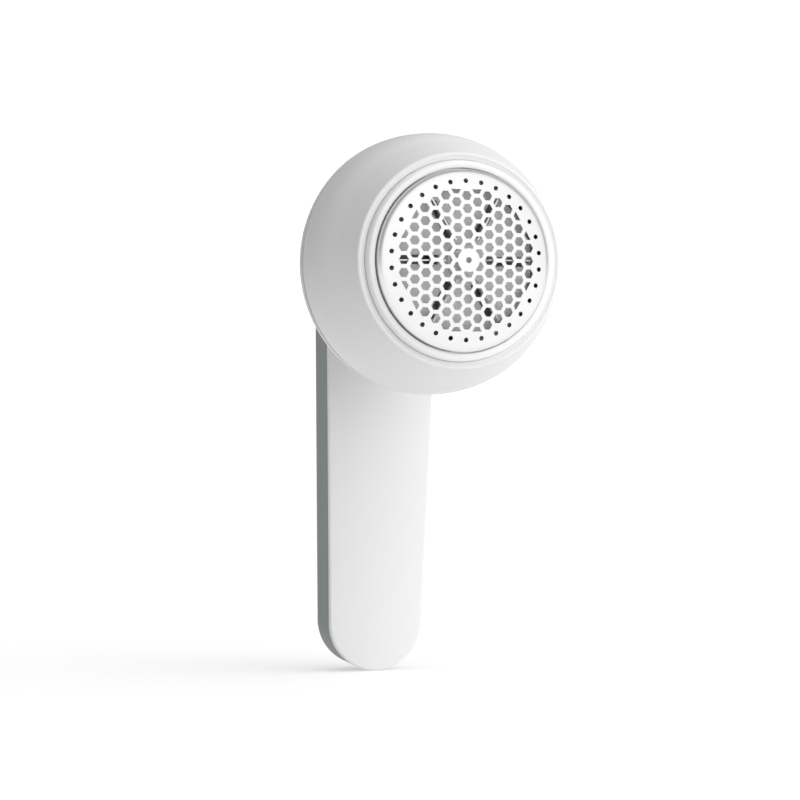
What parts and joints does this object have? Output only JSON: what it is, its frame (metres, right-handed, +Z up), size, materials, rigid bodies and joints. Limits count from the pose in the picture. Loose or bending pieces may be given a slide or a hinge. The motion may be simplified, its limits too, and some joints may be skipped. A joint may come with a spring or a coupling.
{
  "type": "fabric shaver",
  "caption": "Hand-held lint shaver: round head with a domed steel foil over a spinning blade set, on a flat paddle handle with a slide-off lint bin.",
  "frame": {"origin": "middle of the bounding box in plan, at the lowest point of the handle's rounded end", "axes": "+Z up along the handle to the head, -Y out of the foil, X across the width"},
  "size_m": [0.0794, 0.0948, 0.1677],
  "materials": {
    "white_shell": "fine-grained white moulding",
    "inner_white": "natural moulding",
    "grey_shell": "soft-touch grey",
    "steel": "satin",
    "foil_steel": "bright rolled sheet",
    "black_plastic": "plain",
    "brass": "stamped",
    "foam": "closed-cell foam",
    "battery_wrap": "shrink wrap",
    "board": "solder mask",
    "lens": "translucent",
    "bin_smoke": "translucent smoke grey",
    "knob": "fine grain",
    "hub_white": "acetal",
    "carrier": "light grey moulding",
    "wire_red": "insulation",
    "wire_black": "insulation"
  },
  "bodies": {
    "housing": {"head_front_shell": "white_shell", "head_rear_housing": "white_shell", "cutter_well": "inner_white", "well_screws": "steel", "motor_tube": "inner_white", "motor_can": "steel", "motor_end_cap": "black_plastic", "motor_terminals": "brass", "motor_screws": "steel", "front_cover": "white_shell", "rear_shell": "grey_shell", "handle_screws": "steel", "battery_cell": "battery_wrap", "battery_pad": "foam", "circuit_board": "board", "board_parts": "black_plastic", "usb_socket": "steel", "switch_body": "black_plastic", "indicator_lens": "lens", "wire_red": "wire_red", "wire_black": "wire_black"},
    "bin": {"lint_bin": "bin_smoke", "bin_seal": "foam"},
    "switch": {"switch_knob": "knob"},
    "foil_frame": {"cutter_foil": "foil_steel", "foil_gasket": "foam"},
    "lock_ring_body": {"lock_ring": "white_shell"},
    "rotor": {"motor_shaft": "steel", "drive_coupler": "hub_white", "cutter_carrier": "carrier", "cutter_blades": "steel", "hub_cap": "hub_white"}
  },
  "joints": [
    {"name": "cutter_spin", "type": "hinge", "parent": "housing", "child": "rotor", "pos_m": [0, -0.0374, 0.1278], "axis": [0, -1, 0], "continuous": true},
    {"name": "foil_lift", "type": "slide", "parent": "housing", "child": "foil_frame", "axis": [0, -1, 0], "range_m": [0, 0.02]},
    {"name": "lock_twist", "type": "hinge", "parent": "foil_frame", "child": "lock_ring_body", "pos_m": [0, -0.0414, 0.1278], "axis": [0, -1, 0], "range_deg": [0, 30]},
    {"name": "bin_slide", "type": "slide", "parent": "housing", "child": "bin", "axis": [0, 0, 1], "range_m": [0, 0.045]},
    {"name": "switch_slide", "type": "slide", "parent": "housing", "child": "switch", "axis": [0, -0.0715, 0.9974], "range_m": [0, 0.005]}
  ]
}
